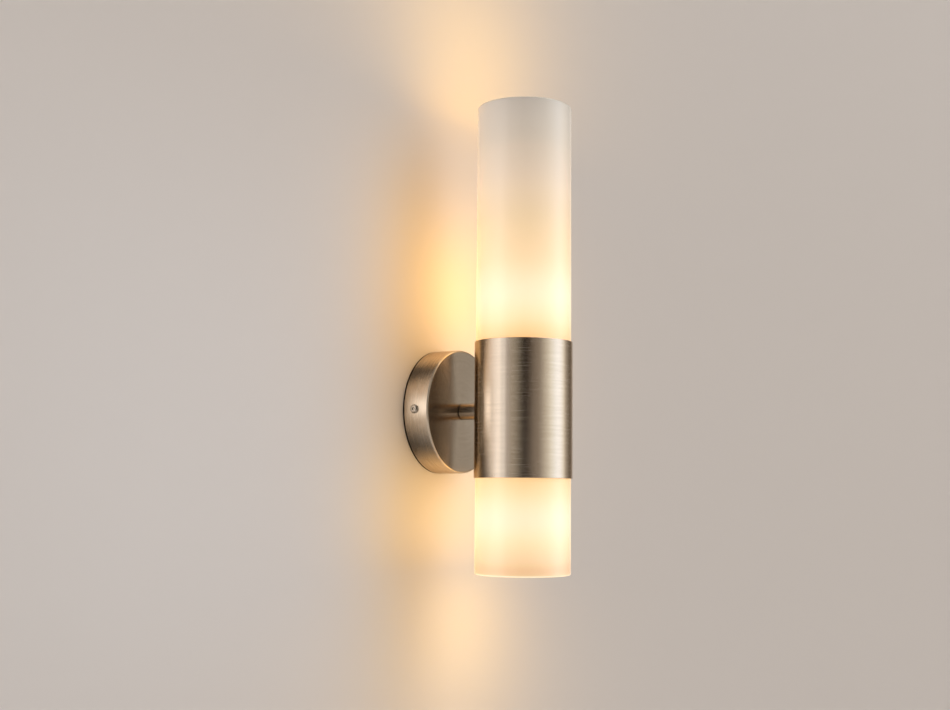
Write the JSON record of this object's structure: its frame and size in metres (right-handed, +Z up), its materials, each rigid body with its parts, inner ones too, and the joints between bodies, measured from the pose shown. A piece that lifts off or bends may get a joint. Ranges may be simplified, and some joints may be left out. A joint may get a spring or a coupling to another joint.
{
  "type": "tube wall light",
  "caption": "Up-and-down wall light: a long and a short opal glass tube joined by a satin metal collar, on a short arm from a round canopy.",
  "frame": {"origin": "centre of the wall fixing's slotted hole pattern, on the wall plane", "axes": "+Z up along the glass tubes, +Y into the wall, +X to the right for someone who faces the light"},
  "size_m": [0.1102, 0.1272, 0.3945],
  "materials": {
    "satin_nickel": "fine brushed, warm satin nickel plate on steel",
    "nickel_screw": "nickel plated, polished",
    "opal_glass": "white opal, gloss outside",
    "black_foam": "closed-cell foam",
    "zinc_steel": "bright zinc plate",
    "spring_steel": "stainless strip",
    "clear_silicone": "milky silicone",
    "black_fibre": "fibre",
    "grey_rubber": "moulded",
    "white_thermoplastic": "moulded, fine matt",
    "porcelain": "unglazed",
    "brass": "bright, pressed",
    "tinned_copper": "tinned",
    "block_plastic": "natural polyamide",
    "brown_insulation": "extruded",
    "blue_insulation": "extruded",
    "green_insulation": "extruded, green with a yellow stripe",
    "bulb_diffuser": "satin diffuser, lit warm white",
    "bulb_housing": "moulded",
    "bulb_cap_metal": "nickel plated, rolled",
    "bulb_insulator": "black glass"
  },
  "bodies": {
    "fixture": {"canopy": "satin_nickel", "arm_tube": "satin_nickel", "collar": "satin_nickel", "wall_seal": "black_foam", "wall_bracket": "zinc_steel", "lampholder_strip": "zinc_steel", "arm_threaded_tube": "zinc_steel", "arm_nuts": "zinc_steel", "arm_lock_washers": "zinc_steel", "holder_nuts": "zinc_steel", "block_screw": "zinc_steel", "upper_gallery": "zinc_steel", "upper_holder_tube": "zinc_steel", "lower_gallery": "zinc_steel", "lower_holder_tube": "zinc_steel", "upper_springs": "spring_steel", "upper_spring_rivets": "spring_steel", "lower_springs": "spring_steel", "lower_spring_rivets": "spring_steel", "upper_seat_ring": "clear_silicone", "lower_seat_ring": "clear_silicone", "arm_washer": "black_fibre", "cable_bush": "grey_rubber", "upper_holder_cap": "white_thermoplastic", "upper_holder_skirt": "white_thermoplastic", "lower_holder_cap": "white_thermoplastic", "lower_holder_skirt": "white_thermoplastic", "upper_holder_core": "porcelain", "lower_holder_core": "porcelain", "terminal_clamps": "brass", "terminal_screws": "brass", "earth_screw": "brass", "upper_holder_shell": "brass", "upper_holder_contact": "brass", "lower_holder_shell": "brass", "lower_holder_contact": "brass", "earth_lugs": "tinned_copper", "terminal_block": "block_plastic", "live_leads": "brown_insulation", "neutral_leads": "blue_insulation", "earth_lead": "green_insulation"},
    "upper_glass": {"upper_glass": "opal_glass"},
    "lower_glass": {"lower_glass": "opal_glass"},
    "upper_bulb": {"upper_bulb_globe": "bulb_diffuser", "upper_bulb_housing": "bulb_housing", "upper_bulb_cap": "bulb_cap_metal", "upper_bulb_insulator": "bulb_insulator", "upper_bulb_contact": "bulb_cap_metal"},
    "lower_bulb": {"lower_bulb_globe": "bulb_diffuser", "lower_bulb_housing": "bulb_housing", "lower_bulb_cap": "bulb_cap_metal", "lower_bulb_insulator": "bulb_insulator", "lower_bulb_contact": "bulb_cap_metal"},
    "left_canopy_screw": {"left_canopy_screw": "nickel_screw"},
    "right_canopy_screw": {"right_canopy_screw": "nickel_screw"}
  },
  "joints": [
    {"name": "upper_glass_lift", "type": "slide", "parent": "fixture", "child": "upper_glass", "axis": [0, 0, 1], "range_m": [0, 0.11]},
    {"name": "lower_glass_drop", "type": "slide", "parent": "fixture", "child": "lower_glass", "axis": [0, 0, -1], "range_m": [0, 0.11]},
    {"name": "upper_bulb_unscrew", "type": "hinge", "parent": "fixture", "child": "upper_bulb", "pos_m": [0, -0.086, 0.1], "axis": [0, 0, 1], "range_deg": [0, 1260]},
    {"name": "lower_bulb_unscrew", "type": "hinge", "parent": "fixture", "child": "lower_bulb", "pos_m": [0, -0.086, -0.1], "axis": [0, 0, -1], "range_deg": [0, 1260]},
    {"name": "left_screw_unscrew", "type": "hinge", "parent": "fixture", "child": "left_canopy_screw", "pos_m": [-0.053, -0.012, 0], "axis": [-1, 0, 0], "range_deg": [0, 2880]},
    {"name": "right_screw_unscrew", "type": "hinge", "parent": "fixture", "child": "right_canopy_screw", "pos_m": [0.053, -0.012, 0], "axis": [1, 0, 0], "range_deg": [0, 2880]}
  ]
}
